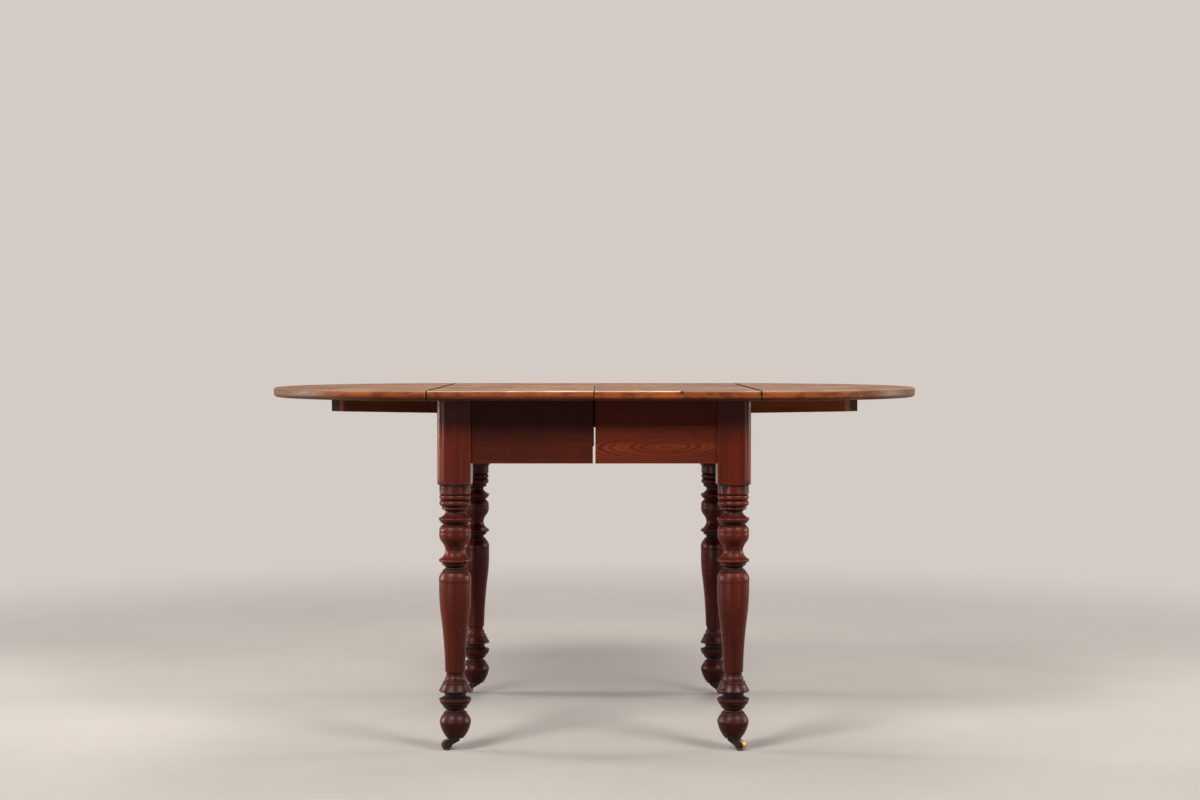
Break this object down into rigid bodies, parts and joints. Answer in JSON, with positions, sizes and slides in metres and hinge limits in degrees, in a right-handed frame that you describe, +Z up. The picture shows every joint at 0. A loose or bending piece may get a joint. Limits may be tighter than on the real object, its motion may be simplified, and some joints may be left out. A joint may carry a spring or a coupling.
{
  "type": "drop-leaf extending table",
  "caption": "Oval table on turned legs with casters: the top splits at the middle and pulls apart on wooden slides, and a hinged leaf at each end rests on a turning bar.",
  "frame": {"origin": "on the floor, below the middle of the closed table with both leaves up", "axes": "+X along the table from the left leaf to the right, +Y to the back, +Z up"},
  "size_m": [1.408, 0.84, 0.74],
  "materials": {
    "top_wood": "satin stained hardwood",
    "leg_wood": "polished red-brown stain",
    "apron_wood": "polished red-brown stain",
    "bar_wood": "satin stained hardwood",
    "bare_wood": "unfinished",
    "dark_iron": "aged",
    "blackened_iron": "blackened",
    "steel_screws": "aged",
    "aged_brass": "aged"
  },
  "bodies": {
    "left_half": {"left_top_inner_board": "top_wood", "left_top_outer_board": "top_wood", "front_left_leg": "leg_wood", "back_left_leg": "leg_wood", "front_left_apron": "apron_wood", "back_left_apron": "apron_wood", "left_end_apron": "apron_wood", "left_glue_blocks": "bare_wood", "front_left_slide": "bare_wood", "back_left_slide": "bare_wood", "left_underside_screws": "steel_screws", "left_hinge_fixed_plates": "dark_iron", "left_hinge_fixed_screws": "steel_screws", "left_hinge_pins": "dark_iron", "left_caster_sockets": "blackened_iron", "left_caster_screws": "steel_screws", "seam_dowels": "bare_wood"},
    "right_half": {"right_top_inner_board": "top_wood", "right_top_outer_board": "top_wood", "front_right_leg": "leg_wood", "back_right_leg": "leg_wood", "front_right_apron": "apron_wood", "back_right_apron": "apron_wood", "right_end_apron": "apron_wood", "right_glue_blocks": "bare_wood", "front_right_slide": "bare_wood", "back_right_slide": "bare_wood", "right_underside_screws": "steel_screws", "right_hinge_fixed_plates": "dark_iron", "right_hinge_fixed_screws": "steel_screws", "right_hinge_pins": "dark_iron", "right_caster_sockets": "blackened_iron", "right_caster_screws": "steel_screws"},
    "middle_slides": {"front_middle_slide": "bare_wood", "back_middle_slide": "bare_wood"},
    "left_leaf": {"left_leaf_inner_board": "top_wood", "left_leaf_outer_board": "top_wood", "left_hinge_leaf_plates": "dark_iron", "left_hinge_leaf_screws": "steel_screws", "left_bar_pivot_screw": "steel_screws"},
    "left_bar": {"left_support_bar": "bar_wood"},
    "front_left_swivel": {"front_left_caster_fork": "blackened_iron", "front_left_caster_axle": "blackened_iron"},
    "front_left_wheel": {"front_left_caster_wheel": "aged_brass"},
    "back_left_swivel": {"back_left_caster_fork": "blackened_iron", "back_left_caster_axle": "blackened_iron"},
    "back_left_wheel": {"back_left_caster_wheel": "aged_brass"},
    "right_leaf": {"right_leaf_inner_board": "top_wood", "right_leaf_outer_board": "top_wood", "right_hinge_leaf_plates": "dark_iron", "right_hinge_leaf_screws": "steel_screws", "right_bar_pivot_screw": "steel_screws"},
    "right_bar": {"right_support_bar": "bar_wood"},
    "front_right_swivel": {"front_right_caster_fork": "blackened_iron", "front_right_caster_axle": "blackened_iron"},
    "front_right_wheel": {"front_right_caster_wheel": "aged_brass"},
    "back_right_swivel": {"back_right_caster_fork": "blackened_iron", "back_right_caster_axle": "blackened_iron"},
    "back_right_wheel": {"back_right_caster_wheel": "aged_brass"}
  },
  "joints": [
    {"name": "extension", "type": "slide", "parent": "left_half", "child": "right_half", "axis": [1, 0, 0], "range_m": [0, 0.6]},
    {"name": "middle_slide_travel", "type": "slide", "parent": "left_half", "child": "middle_slides", "axis": [1, 0, 0], "range_m": [0, 0.3]},
    {"name": "left_leaf_drop", "type": "hinge", "parent": "left_half", "child": "left_leaf", "pos_m": [-0.336, 0, 0.7165], "axis": [0, -1, 0], "range_deg": [0, 90]},
    {"name": "left_bar_turn", "type": "hinge", "parent": "left_leaf", "child": "left_bar", "pos_m": [-0.455, 0, 0.7], "axis": [0, 0, 1], "range_deg": [0, 90]},
    {"name": "front_left_caster_swivel", "type": "hinge", "parent": "left_half", "child": "front_left_swivel", "pos_m": [-0.2855, -0.329, 0.045], "axis": [0, 0, 1], "continuous": true},
    {"name": "front_left_wheel_spin", "type": "hinge", "parent": "front_left_swivel", "child": "front_left_wheel", "pos_m": [-0.30323, -0.33213, 0.011], "axis": [0.1736, -0.9848, 0], "continuous": true},
    {"name": "back_left_caster_swivel", "type": "hinge", "parent": "left_half", "child": "back_left_swivel", "pos_m": [-0.2855, 0.329, 0.045], "axis": [0, 0, 1], "continuous": true},
    {"name": "back_left_wheel_spin", "type": "hinge", "parent": "back_left_swivel", "child": "back_left_wheel", "pos_m": [-0.30241, 0.33516, 0.011], "axis": [-0.342, -0.9397, 0], "continuous": true},
    {"name": "right_leaf_drop", "type": "hinge", "parent": "right_half", "child": "right_leaf", "pos_m": [0.336, 0, 0.7165], "axis": [0, 1, 0], "range_deg": [0, 90]},
    {"name": "right_bar_turn", "type": "hinge", "parent": "right_leaf", "child": "right_bar", "pos_m": [0.455, 0, 0.7], "axis": [0, 0, 1], "range_deg": [0, 90]},
    {"name": "front_right_caster_swivel", "type": "hinge", "parent": "right_half", "child": "front_right_swivel", "pos_m": [0.2855, -0.329, 0.045], "axis": [0, 0, 1], "continuous": true},
    {"name": "front_right_wheel_spin", "type": "hinge", "parent": "front_right_swivel", "child": "front_right_wheel", "pos_m": [0.30024, -0.33932, 0.011], "axis": [0.5736, 0.8192, 0], "continuous": true},
    {"name": "back_right_caster_swivel", "type": "hinge", "parent": "right_half", "child": "back_right_swivel", "pos_m": [0.2855, 0.329, 0.045], "axis": [0, 0, 1], "continuous": true},
    {"name": "back_right_wheel_spin", "type": "hinge", "parent": "back_right_swivel", "child": "back_right_wheel", "pos_m": [0.30109, 0.32, 0.011], "axis": [0.5, 0.866, 0], "continuous": true}
  ],
  "couplings": [
    {"joint": "middle_slide_travel", "follows": "extension", "ratio": 0.5},
    {"joint": "left_bar_turn", "follows": "left_leaf_drop", "ratio": 1},
    {"joint": "right_bar_turn", "follows": "right_leaf_drop", "ratio": 1}
  ]
}
